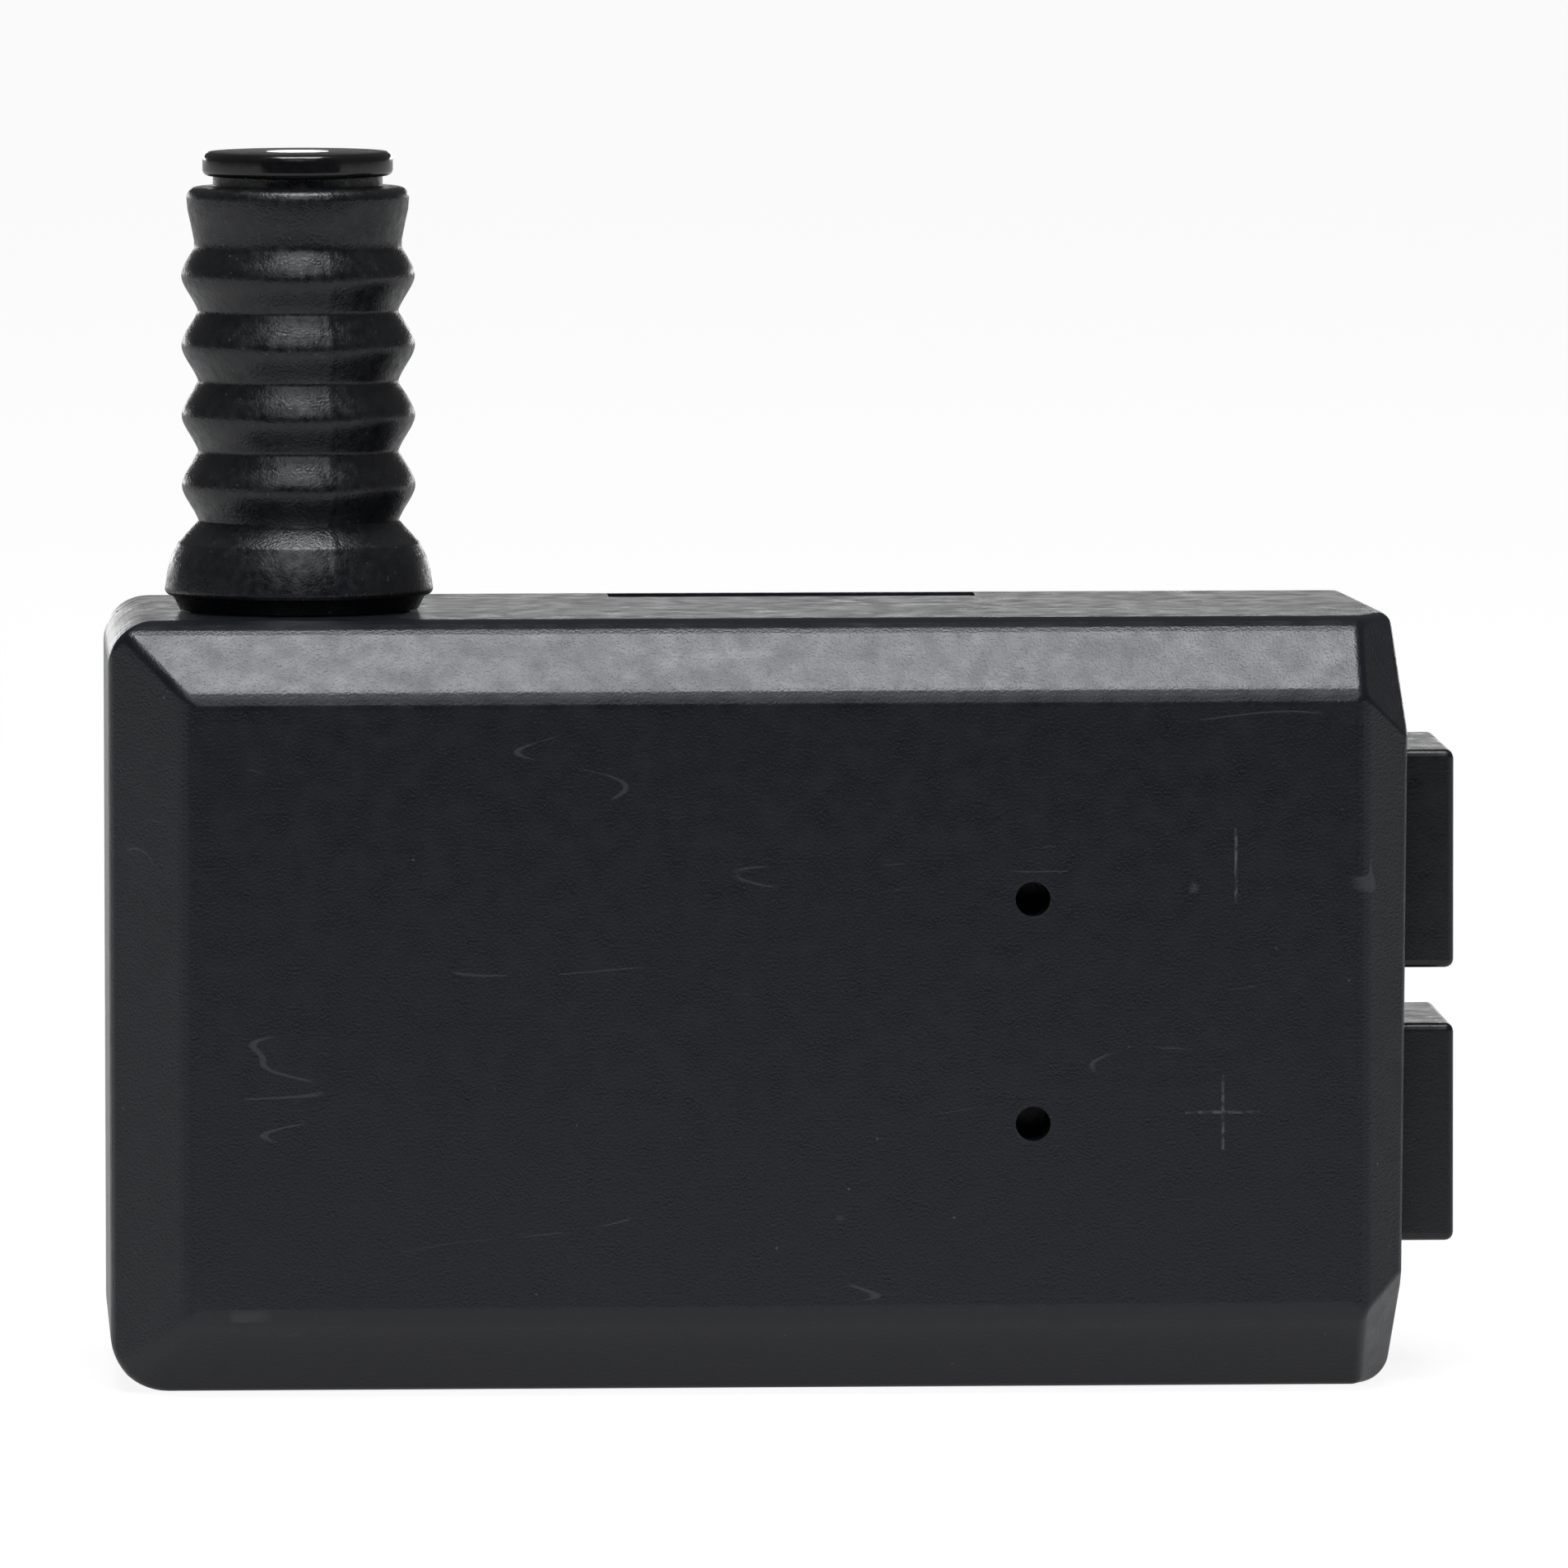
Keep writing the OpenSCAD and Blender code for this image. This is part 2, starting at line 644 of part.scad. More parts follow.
module terminal_seal(z) {
    inner_y = shroud_d / 2 - shroud_wall - joint_gap;
    inner_z = shroud_h / 2 - shroud_wall - joint_gap;
    x0 = shroud_x0 + shroud_wall + joint_gap;
    color("#7a4a33") translate([0, 0, z]) difference() {
        block([x0, x0 + seal_t], [-inner_y, inner_y], [-inner_z, inner_z]);
        block([x0 - over, x0 + seal_t + over],
              [-blade_w / 2 - joint_gap, blade_w / 2 + joint_gap],
              [-blade_t / 2 - joint_gap, blade_t / 2 + joint_gap]);
    }
}

// ---------- magnets ----------

module magnet(y0) {
    color("#8b8d90") block([magnet_cx - magnet_x / 2, magnet_cx + magnet_x / 2],
                           [y0, y0 + magnet_y - joint_gap],
                           [magnet_cz - magnet_z / 2, magnet_cz + magnet_z / 2]);
}

housing();
rear_cover();
seam_sealant();
guide_bush();
bellows_boot();
plunger_cap();
plunger_rod();
return_spring();
pusher();
pusher_spring();
contact_rocker();
moving_contact();
fixed_contact();
negative_terminal();
positive_terminal();
terminal_shroud(upper_z);  // upper_terminal_shroud
terminal_shroud(shroud_z);  // lower_terminal_shroud
terminal_seal(upper_z);  // upper_terminal_seal
terminal_seal(shroud_z);  // lower_terminal_seal
magnet(cavity_y0 + joint_gap);  // front_magnet
magnet(seam_y + joint_gap);  // rear_magnet
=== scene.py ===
"""Sealed plunger switch: its looks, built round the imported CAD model.

Lengths are in millimetres up to the moment a mesh is made, where MM turns them into metres.
"""

import math

import bmesh
import bpy
from mathutils import Matrix, Vector


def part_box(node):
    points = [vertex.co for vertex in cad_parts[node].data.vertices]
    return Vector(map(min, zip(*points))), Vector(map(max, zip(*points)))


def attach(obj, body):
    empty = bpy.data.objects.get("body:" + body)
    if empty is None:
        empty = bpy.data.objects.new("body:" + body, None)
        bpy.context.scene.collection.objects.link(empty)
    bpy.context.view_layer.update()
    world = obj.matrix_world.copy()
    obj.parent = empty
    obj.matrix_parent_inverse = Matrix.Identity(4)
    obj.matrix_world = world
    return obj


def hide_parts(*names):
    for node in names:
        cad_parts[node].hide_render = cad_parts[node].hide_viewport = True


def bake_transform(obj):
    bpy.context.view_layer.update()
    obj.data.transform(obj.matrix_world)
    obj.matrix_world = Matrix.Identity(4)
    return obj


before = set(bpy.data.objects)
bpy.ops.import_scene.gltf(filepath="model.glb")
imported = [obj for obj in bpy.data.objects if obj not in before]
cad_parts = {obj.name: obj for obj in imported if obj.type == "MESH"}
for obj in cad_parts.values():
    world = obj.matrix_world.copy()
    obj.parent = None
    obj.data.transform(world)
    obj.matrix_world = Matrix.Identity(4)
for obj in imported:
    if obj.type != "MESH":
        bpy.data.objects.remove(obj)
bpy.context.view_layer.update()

MM = 0.001
CLOSE = 1e-6  # metres between two points that count as one

# ---------- sizes, from the frame where it holds them ----------


def box_mm(node):
    """A CAD node's lowest and highest corners in millimetres."""
    low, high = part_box(node)
    return low / MM, high / MM


case_low, case_high = box_mm("housing")
cap_low, cap_high = box_mm("plunger_cap")
boot_low, boot_high = box_mm("bellows_boot")

LEFT, FRONT, BOTTOM = case_low
RIGHT, SEAM, TOP = case_high
REAR = box_mm("rear_cover")[1].y
AXIS_X = (boot_low.x + boot_high.x) / 2  # the plunger slides along it, at y = 0

BEVEL = 2.4  # how far the bottom and left bevels reach across the front face
TOP_BEVEL = 2.25
SIDE_BEVEL = 1.45
CORNER_SLOPE = 0.5  # how far the small facets at the right corners turn to the front and up or down
REAR_CHAMFER = 0.5
CORNER_RADII = {"top_left": 1.4, "top_right": 0.4, "bottom_left": 1.8, "bottom_right": 0.9}
END_SET = {"top": 0.31, "low": 0.2, "bottom": 0.42}  # how far the right end falls back from its widest
END_TOP_Z = TOP - 3.3  # the heights between which the right end is near its widest
END_LOW_Z = BOTTOM + 3.2
END_CUT = 0.12  # how far the cut of the rear top right corner starts outside the end's top edge
END_CUT_FACING = (1, 0.06, 0.15)
BODY_ROUND = 0.45  # radius on every edge of the body
ROUND_STEPS = 6
SEAM_CHAMFER = 0.08
SKIN = 0.01  # how far the rounded faces lie inside the CAD faces

# ---------- mesh helpers ----------


def arc(centre, radius, start, end, steps=8):
    """Points round a centre, angles in degrees."""
    angles = [math.radians(start + (end - start) * i / steps) for i in range(steps + 1)]
    return [(centre[0] + radius * math.cos(a), centre[1] + radius * math.sin(a)) for a in angles]


def make_object(name, bm):
    """Turns a bmesh in millimetres into an object."""
    bmesh.ops.recalc_face_normals(bm, faces=bm.faces)
    mesh = bpy.data.meshes.new(name)
    bm.to_mesh(mesh)
    bm.free()
    mesh.transform(Matrix.Scale(MM, 4))
    obj = bpy.data.objects.new(name, mesh)
    bpy.context.scene.collection.objects.link(obj)
    return obj


def edit(obj, change):
    """Runs change on the object's mesh, in millimetres."""
    bm = bmesh.new()
    bm.from_mesh(obj.data)
    bmesh.ops.scale(bm, vec=(1 / MM,) * 3, verts=bm.verts)
    change(bm)
    bmesh.ops.scale(bm, vec=(MM,) * 3, verts=bm.verts)
    bm.to_mesh(obj.data)
    bm.free()


def cad_copy(name, node):
    """A new object with a copy of a CAD node's mesh, welded, with its flat faces whole."""
    obj = bpy.data.objects.new(name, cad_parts[node].data.copy())
    obj.data.materials.clear()
    bpy.context.scene.collection.objects.link(obj)

    def weld(bm):
        bmesh.ops.remove_doubles(bm, verts=bm.verts, dist=CLOSE / MM)
        bmesh.ops.dissolve_limit(bm, angle_limit=math.radians(0.3), verts=bm.verts, edges=bm.edges)

    edit(obj, weld)
    if "custom_normal" in obj.data.attributes:
        obj.data.attributes.remove(obj.data.attributes["custom_normal"])
    return obj


def combine(obj, tool, operation):
    """Applies a boolean and removes the tool."""
    modifier = obj.modifiers.new("boolean", "BOOLEAN")
    modifier.object = tool
    modifier.operation = operation
    modifier.solver = "EXACT"
    graph = bpy.context.evaluated_depsgraph_get()
    mesh = bpy.data.meshes.new_from_object(obj.evaluated_get(graph))
    obj.modifiers.clear()
    obj.data = mesh
    bpy.data.objects.remove(tool)
    return obj


def round_edges(bm, offset, pick, segments=4):
    """Rounds the edges that pick() chooses."""
    edges = [e for e in bm.edges if len(e.link_faces) == 2 and pick(e)]
    bmesh.ops.bevel(bm, geom=edges, offset=offset, offset_type="OFFSET", segments=segments,
                    profile=0.5, affect="EDGES", clamp_overlap=True)


def is_sharp(edge, degrees=20):
    return edge.calc_face_angle(0) > math.radians(degrees)


def smooth(obj, sharp_degrees=32):
    """Smooth shading with sharp edges over an angle and flat faces that stay flat."""
    bm = bmesh.new()
    bm.from_mesh(obj.data)
    for face in bm.faces:
        face.smooth = True
    for edge in bm.edges:
        edge.smooth = len(edge.link_faces) == 2 and not is_sharp(edge, sharp_degrees)
    bm.to_mesh(obj.data)
    bm.free()
    modifier = obj.modifiers.new("flat faces", "WEIGHTED_NORMAL")
    modifier.keep_sharp = True
    modifier.weight = 100
    return obj


def lathe(name, profile, steps=128, line_at=None, line_height=0):
    """Turns a closed profile of (radius, height) points round the plunger's axis.

    line_at is the angle in degrees of a fine raised parting line."""
    bm = bmesh.new()
    rings = []
    for k in range(steps):
        angle = 2 * math.pi * k / steps
        lift = line_height if line_at is not None and k == round(line_at / 360 * steps) else 0
        x, y = math.cos(angle), math.sin(angle)
        rings.append([bm.verts.new((AXIS_X + (r + lift) * x, (r + lift) * y, z)) for r, z in profile])
    count = len(profile)
    for k in range(steps):
        here, there = rings[k], rings[(k + 1) % steps]
        for i in range(count):
            bm.faces.new((here[i], there[i], there[(i + 1) % count], here[(i + 1) % count]))
    bmesh.ops.remove_doubles(bm, verts=bm.verts, dist=CLOSE / MM)
    bmesh.ops.dissolve_degenerate(bm, dist=CLOSE / MM, edges=bm.edges)
    return make_object(name, bm)


def block(low, high):
    """A box in millimetres as a bmesh."""
    bm = bmesh.new()
    bmesh.ops.create_cube(bm, size=1)
    low, high = Vector(low), Vector(high)
    bmesh.ops.scale(bm, vec=high - low, verts=bm.verts)
    bmesh.ops.translate(bm, vec=(low + high) / 2, verts=bm.verts)
    return bm


# ---------- the moulded body ----------

FACE_OUTLINE = (
    arc((LEFT + CORNER_RADII["bottom_left"], CORNER_RADII["bottom_left"]),
        CORNER_RADII["bottom_left"], 180, 270, 12)
    + arc((RIGHT - END_SET["bottom"] - CORNER_RADII["bottom_right"], CORNER_RADII["bottom_right"]),
          CORNER_RADII["bottom_right"], 270, 360)
    + [(RIGHT - END_SET["low"], END_LOW_Z), (RIGHT, END_TOP_Z)]
    + arc((RIGHT - END_SET["top"] - CORNER_RADII["top_right"], TOP - CORNER_RADII["top_right"]),
          CORNER_RADII["top_right"], 0, 90)
    + arc((LEFT + CORNER_RADII["top_left"], TOP - CORNER_RADII["top_left"]),
          CORNER_RADII["top_left"], 90, 180, 12))

FACE_TOP_Z = TOP - TOP_BEVEL
FACE_RIGHT = RIGHT - SIDE_BEVEL
BODY_PLANES = [  # a point on each bevel and the way it faces
    ((0, FRONT, BEVEL), (0, -1, -1)),
    ((0, FRONT, FACE_TOP_Z), (0, -1, 1)),
    ((LEFT + BEVEL, FRONT, 0), (-1, -1, 0)),
    ((FACE_RIGHT, FRONT, 0), (1, -1, 0)),
    ((FACE_RIGHT, FRONT, FACE_TOP_Z), (1, -CORNER_SLOPE, CORNER_SLOPE)),
    ((FACE_RIGHT, FRONT, BEVEL), (1, -CORNER_SLOPE, -CORNER_SLOPE)),
    ((0, REAR, REAR_CHAMFER), (0, 1, -1)),
    ((0, REAR, TOP - REAR_CHAMFER), (0, 1, 1)),
    ((LEFT + REAR_CHAMFER, REAR, 0), (-1, 1, 0)),
    ((RIGHT - REAR_CHAMFER, REAR, 0), (1, 1, 0)),
    ((RIGHT - END_SET["top"] + END_CUT, FRONT + TOP_BEVEL, TOP), END_CUT_FACING)]

SOFT_EDGES = [  # a point on the edge, the way its two faces look and its radius
    ((0, FRONT, FACE_TOP_Z), (0, -1, 0), (0, -1, 1), 1.0),
    ((0, FRONT + TOP_BEVEL, TOP), (0, -1, 1), (0, 0, 1), 1.6),
    ((0, FRONT, BEVEL), (0, -1, 0), (0, -1, -1), 1.1),
    ((LEFT + BEVEL, FRONT, 0), (0, -1, 0), (-1, -1, 0), 1.1),
    ((LEFT, FRONT + BEVEL, 0), (-1, -1, 0), (-1, 0, 0), 0.9),
    ((FACE_RIGHT, FRONT, 0), (0, -1, 0), (1, -1, 0), 0.9)]


def soft_planes(point, first, second, radius, steps=4):
    """Planes that touch the fillet of a radius between two faces that meet at a point."""
    first, second = Vector(first).normalized(), Vector(second).normalized()
    centre = Vector(point) - radius * (first + second) / (1 + first.dot(second))
    ways = [first.slerp(second, (k + 0.5) / steps) for k in range(steps)]
    return [(centre + radius * way, way) for way in ways]


OUTLINE_PLANES = [  # the walls that join the outline's points
    ((x0, FRONT, z0), (z1 - z0, 0, x0 - x1))
    for (x0, z0), (x1, z1) in zip(FACE_OUTLINE, FACE_OUTLINE[1:] + FACE_OUTLINE[:1])]
END_PLANES = [((0, FRONT, 0), (0, -1, 0)), ((0, REAR, 0), (0, 1, 0))]
FILLET_PLANES = [plane for edge in SOFT_EDGES for plane in soft_planes(*edge)]
ALL_PLANES = END_PLANES + OUTLINE_PLANES + BODY_PLANES + FILLET_PLANES


def cut_solid(planes):
    """The convex solid behind every plane; a plane is a point and the way it faces."""
    bm = block((LEFT - 1, FRONT - 1, BOTTOM - 1), (RIGHT + 1, REAR + 1, TOP + 1))
    for point, facing in planes:
        everything = bm.verts[:] + bm.edges[:] + bm.faces[:]
        cut = bmesh.ops.bisect_plane(bm, geom=everything, plane_co=point, plane_no=facing,
                                     clear_outer=True)["geom_cut"]
        rim = [e for e in cut if isinstance(e, bmesh.types.BMEdge)]
        if rim:
            bmesh.ops.holes_fill(bm, edges=rim)
    bmesh.ops.remove_doubles(bm, verts=bm.verts, dist=CLOSE / MM)
    bmesh.ops.dissolve_degenerate(bm, dist=CLOSE / MM, edges=bm.edges)
    bmesh.ops.recalc_face_normals(bm, faces=bm.faces)
    return bm


def rounded_body():
    """The outside of the moulded body: a smaller solid grown by a ball."""
    inset = [(Vector(point) - Vector(facing).normalized() * BODY_ROUND, facing)
             for point, facing in ALL_PLANES]
    core = cut_solid(inset)
    points = []
    for edge in core.edges:
        first, second = (face.normal for face in edge.link_faces)
        turn = [first.slerp(second, k / ROUND_STEPS) for k in range(ROUND_STEPS + 1)]
        for vert in edge.verts:
            middle = sum((face.normal for face in vert.link_faces), Vector()).normalized()
            inner = [way.slerp(middle, share) for way in turn[1:-1] for share in (0.33, 0.67)]
            ball = turn + inner + [middle]
            points += [vert.co + way * (BODY_ROUND - SKIN) for way in ball]
    core.free()
    bm = bmesh.new()
    for point in points:
        bm.verts.new(point)
    bmesh.ops.remove_doubles(bm, verts=bm.verts, dist=CLOSE / MM)
    hull = bmesh.ops.convex_hull(bm, input=bm.verts)
    loose = {v for v in hull["geom_interior"] + hull["geom_unused"] if isinstance(v, bmesh.types.BMVert)}
    bmesh.ops.delete(bm, geom=list(loose), context="VERTS")
    bmesh.ops.dissolve_limit(bm, angle_limit=math.radians(0.3), verts=bm.verts, edges=bm.edges)
    bmesh.ops.recalc_face_normals(bm, faces=bm.faces)
    return bm


def grooved_body():
    """The rounded body with a fine V groove where its two halves meet."""
    bm = rounded_body()
    for y in (SEAM - SEAM_CHAMFER, SEAM, SEAM + SEAM_CHAMFER):
        everything = bm.verts[:] + bm.edges[:] + bm.faces[:]
        bmesh.ops.bisect_plane(bm, geom=everything, plane_co=(0, y, 0), plane_no=(0, 1, 0))
    centre = Vector(((LEFT + RIGHT) / 2, SEAM, (BOTTOM + TOP) / 2))
    narrower = (1 - 2 * SEAM_CHAMFER / (RIGHT - LEFT), 1, 1 - 2 * SEAM_CHAMFER / (TOP - BOTTOM))
    bmesh.ops.scale(bm, vec=narrower, space=Matrix.Translation(-centre),
                    verts=[v for v in bm.verts if abs(v.co.y - SEAM) < SKIN / 10])
    bmesh.ops.recalc_face_normals(bm, faces=bm.faces)
    return bm


def moulding(name, node):
    """A CAD shell of the body with its outside replaced by the rounded one."""
    margin = Vector((3, 3, 3))
    around = block(Vector((LEFT, FRONT, BOTTOM)) - margin, Vector((RIGHT, REAR, TOP)) + margin)
    trim = make_object("trim", around)
    combine(trim, make_object("envelope", grooved_body()), "DIFFERENCE")
    obj = combine(cad_copy(name, node), trim, "DIFFERENCE")

    def clean(bm):
        bmesh.ops.remove_doubles(bm, verts=bm.verts, dist=CLOSE / MM)
        bmesh.ops.dissolve_degenerate(bm, dist=CLOSE / MM, edges=bm.edges)

    edit(obj, clean)
    smooth(obj)
    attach(obj, "case")
    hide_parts(node)
    return obj


# ---------- materials ----------


class Nodes:
    """Adds and links the nodes of one material."""

    def __init__(self, name):
        self.material = bpy.data.materials.new(name)
        self.material.use_nodes = True
        self.tree = self.material.node_tree
        self.shader = self.tree.nodes["Principled BSDF"]
        self.place = self.add("ShaderNodeTexCoord").outputs["Object"]

    def add(self, kind, **settings):
        node = self.tree.nodes.new(kind)
        for key, value in settings.items():
            setattr(node, key, value)
        return node

    def link(self, output, socket):
        self.tree.links.new(output, socket)

    def noise(self, size_mm, detail=2.0, stretch=(1, 1, 1)):
        """Noise whose patches are about size_mm across."""
        mapping = self.add("ShaderNodeMapping")
        mapping.inputs["Scale"].default_value = stretch
        self.link(self.place, mapping.inputs["Vector"])
        node = self.add("ShaderNodeTexNoise")
        node.inputs["Scale"].default_value = 1 / (size_mm * MM)
        node.inputs["Detail"].default_value = detail
        self.link(mapping.outputs["Vector"], node.inputs["Vector"])
        return node.outputs["Fac"]

    def cells(self, size_mm, randomness=1.0):
        """Distance to the nearest of points about size_mm apart."""
        node = self.add("ShaderNodeTexVoronoi")
        node.inputs["Scale"].default_value = 1 / (size_mm * MM)
        node.inputs["Randomness"].default_value = randomness
        self.link(self.place, node.inputs["Vector"])
        return node.outputs["Distance"]

    def span(self, value, low, high, to_low=0.0, to_high=1.0):
        """Maps low..high to to_low..to_high."""
        node = self.add("ShaderNodeMapRange")
        for key, number in zip(("From Min", "From Max", "To Min", "To Max"), (low, high, to_low, to_high)):
            node.inputs[key].default_value = number
        self.link(value, node.inputs["Value"])
        return node.outputs["Result"]

    def math(self, operation, first, second):
        node = self.add("ShaderNodeMath", operation=operation)
        for socket, value in zip(node.inputs, (first, second)):
            if isinstance(value, (int, float)):
                socket.default_value = value
            else:
                self.link(value, socket)
        return node.outputs["Value"]

    def mix(self, factor, first, second):
        """Mixes two colours, each an output or three numbers."""
        node = self.add("ShaderNodeMix", data_type="RGBA")
        self.link(factor, node.inputs["Factor"])
        for socket, value in zip((node.inputs["A"], node.inputs["B"]), (first, second)):
            if isinstance(value, (tuple, list)):
                socket.default_value = (*value, 1)
            else:
                self.link(value, socket)
        return node.outputs["Result"]

    def bump(self, height, depth_mm, before=None):
        """A bump of that depth, on top of another."""
        node = self.add("ShaderNodeBump")
        node.inputs["Distance"].default_value = depth_mm * MM
        self.link(height, node.inputs["Height"])
        if before is not None:
            self.link(before, node.inputs["Normal"])
        return node.outputs["Normal"]

    def edges(self, radius_mm):
        """1 on convex and concave edges, 0 on flat faces."""
        rounded = self.add("ShaderNodeBevel", samples=4)
        rounded.inputs["Radius"].default_value = radius_mm * MM
        geometry = self.add("ShaderNodeNewGeometry")
        product = self.add("ShaderNodeVectorMath", operation="DOT_PRODUCT")
        self.link(rounded.outputs["Normal"], product.inputs[0])
        self.link(geometry.outputs["Normal"], product.inputs[1])
        return self.span(product.outputs["Value"], 0.99, 0.8)

    def set(self, **values):
        """Links or sets the shader's sockets; an underscore in a name is a space in the socket's."""
        for key, value in values.items():
            socket = self.shader.inputs[key.replace("_", " ")]
            if isinstance(value, (int, float)):
                socket.default_value = value
            elif isinstance(value, tuple):
                socket.default_value = (*value, 1)
            else:
                self.link(value, socket)
        return self.material


def shade(color, factor):
    return tuple(c * factor for c in color)


def moulded_plastic(name, color, roughness, grain_mm=0.08, grain_depth=0.012, wear=0.0):
    """Moulded plastic with a spark-eroded grain, faint flow marks, dust specks and worn edges."""
    n = Nodes(name)
    patches = n.noise(4.0, detail=4)
    fine = n.noise(0.35, detail=3)
    tone = n.mix(n.span(patches, 0.35, 0.65), shade(color, 0.85), shade(color, 1.15))
    tone = n.mix(n.span(fine, 0.3, 0.7), shade(color, 0.9), tone)
    specks = n.span(n.cells(0.9), 0.06, 0.03)
    tone = n.mix(n.math("MULTIPLY", specks, n.span(n.noise(2.5), 0.55, 0.6, 0.0, 0.45)), tone,
                 tuple(c + 0.12 for c in color))
    wander = n.math("SUBTRACT", n.noise(2.6, detail=1, stretch=(0.15, 1, 1)), 0.5)
    wander = n.math("ABSOLUTE", wander, 0)
    scratch = n.math("MULTIPLY", n.span(wander, 0.004, 0.002), n.span(n.noise(3.7), 0.6, 0.64, 0.0, 0.25))
    tone = n.mix(scratch, tone, tuple(c + 0.10 for c in color))
    if wear:
        worn = n.math("MULTIPLY", n.edges(0.25), n.span(n.noise(0.5, detail=5), 0.45, 0.7, 0.0, wear))
        tone = n.mix(worn, tone, tuple(c * 1.6 + 0.03 for c in color))
    grain = n.noise(grain_mm, detail=1)
    flow = n.noise(1.6, detail=2)
    normal = n.bump(flow, 0.012)
    normal = n.bump(grain, grain_depth, normal)
    polish = n.span(n.noise(0.8, detail=4), 0.3, 0.7, roughness - 0.05, roughness + 0.06)
    return n.set(Base_Color=tone, Roughness=polish, Normal=normal, IOR=1.5)


def rubber(name, color, roughness):
    """Satin moulded rubber with pits and bright specks of bloom."""
    n = Nodes(name)
    tone = n.mix(n.span(n.noise(1.2, detail=5), 0.35, 0.65), shade(color, 0.75), shade(color, 1.25))
    bloom = n.math("MULTIPLY", n.span(n.cells(0.32), 0.16, 0.06), n.span(n.noise(0.8), 0.48, 0.6, 0.0, 0.5))
    tone = n.mix(bloom, tone, tuple(c + 0.09 for c in color))
    normal = n.bump(n.noise(0.6, detail=2), 0.012)
    normal = n.bump(n.noise(0.09, detail=1), 0.015, normal)
    polish = n.span(n.noise(0.3, detail=4), 0.3, 0.7, roughness - 0.1, roughness + 0.12)
    return n.set(Base_Color=tone, Roughness=polish, Normal=normal, IOR=1.52)


GATE_R = 1.0  # radius of the polished spot in the middle of the cap's satin top


def glossy_plastic(name, color, roughness):
    """Polished plastic with fine handling scratches, satin on top round a polished spot."""
    n = Nodes(name)
    tone = n.mix(n.span(n.noise(1.5, detail=3), 0.35, 0.65), shade(color, 0.85), shade(color, 1.15))
    scratches = n.noise(0.25, detail=6, stretch=(1, 6, 1))
    normal = n.bump(n.noise(0.5, detail=2), 0.006)
    normal = n.bump(scratches, 0.0015, normal)
    polish = n.span(scratches, 0.35, 0.7, roughness - 0.04, roughness + 0.12)
    facing = n.add("ShaderNodeSeparateXYZ")
    n.link(n.add("ShaderNodeNewGeometry").outputs["Normal"], facing.inputs[0])
    place = n.add("ShaderNodeVectorMath", operation="MULTIPLY_ADD")
    n.link(n.place, place.inputs[0])
    place.inputs[1].default_value = (1, 1, 0)
    place.inputs[2].default_value = (-AXIS_X * MM, 0, 0)
    reach = n.add("ShaderNodeVectorMath", operation="LENGTH")
    n.link(place.outputs["Vector"], reach.inputs[0])
    round_spot = n.span(reach.outputs["Value"], (GATE_R - 0.05) * MM, GATE_R * MM)
    satin = n.math("MULTIPLY", n.span(facing.outputs["Z"], 0.9, 0.99, 0.0, 0.3), round_spot)
    return n.set(Base_Color=tone, Roughness=n.math("ADD", polish, satin), Normal=normal, IOR=1.5)


def metal(name, color, roughness, stretch, tarnish):
    """Rolled or drawn metal: lines along one axis, tarnish in patches."""
    n = Nodes(name)
    lines = n.noise(0.5, detail=6, stretch=stretch)
    stains = n.span(n.noise(0.9, detail=6), 0.45, 0.7)
    tone = n.mix(stains, color, tarnish)
    tone = n.mix(n.span(lines, 0.3, 0.7), shade(color, 0.9), tone)
    normal = n.bump(lines, 0.003)
    normal = n.bump(n.noise(0.08, detail=3), 0.002, normal)
    polish = n.span(n.math("ADD", lines, stains), 0.4, 1.4, roughness - 0.07, roughness + 0.15)
    return n.set(Base_Color=tone, Roughness=polish, Normal=normal, Metallic=1.0)


def laser_mark(name, color, bleached, roughness):
    """A worn laser line: the plastic's colour with bleached stretches."""
    n = Nodes(name)
    tone = n.mix(n.span(n.noise(0.22, detail=3), 0.42, 0.6), color, bleached)
    normal = n.bump(n.noise(0.06, detail=2), 0.01)
    return n.set(Base_Color=tone, Roughness=roughness, Normal=normal)


MATERIALS = {
    "case": moulded_plastic("black_nylon", (0.0046, 0.0054, 0.0088), 0.32, wear=0.4),
    "shroud": moulded_plastic("shroud_nylon", (0.0040, 0.0044, 0.0066), 0.31, grain_mm=0.07,
                              grain_depth=0.006, wear=0.4),
    "boot": rubber("boot_rubber", (0.0048, 0.0052, 0.0066), 0.33),
    "cap": glossy_plastic("cap_plastic", (0.0055, 0.0055, 0.0062), 0.14),
    "acetal": moulded_plastic("ivory_acetal", (0.72, 0.68, 0.56), 0.42, grain_mm=0.15, grain_depth=0.004),
    "sealant": rubber("grey_sealant", (0.035, 0.036, 0.040), 0.5),
    "seal": rubber("silicone_seal", (0.16, 0.06, 0.035), 0.45),
    "steel": metal("spring_steel", (0.48, 0.48, 0.47), 0.25, (1, 1, 8), (0.36, 0.34, 0.31)),
    "copper": metal("rolled_copper", (0.72, 0.36, 0.20), 0.28, (8, 1, 1), (0.45, 0.20, 0.12)),
    "tinned": metal("tinned_brass", (0.62, 0.60, 0.54), 0.30, (1, 10, 10), (0.46, 0.42, 0.34)),
    "silver": metal("contact_silver", (0.78, 0.77, 0.74), 0.30, (1, 1, 1), (0.52, 0.47, 0.40)),
    "magnet": metal("nickel_plate", (0.36, 0.36, 0.37), 0.33, (1, 1, 1), (0.27, 0.26, 0.25)),
    "mark": laser_mark("laser_mark", (0.006, 0.007, 0.010), (0.055, 0.057, 0.060), 0.5),
}


def dress(obj, material):
    obj.data.materials.clear()
    obj.data.materials.append(MATERIALS[material])
    return obj


# ---------- housing and rear cover ----------

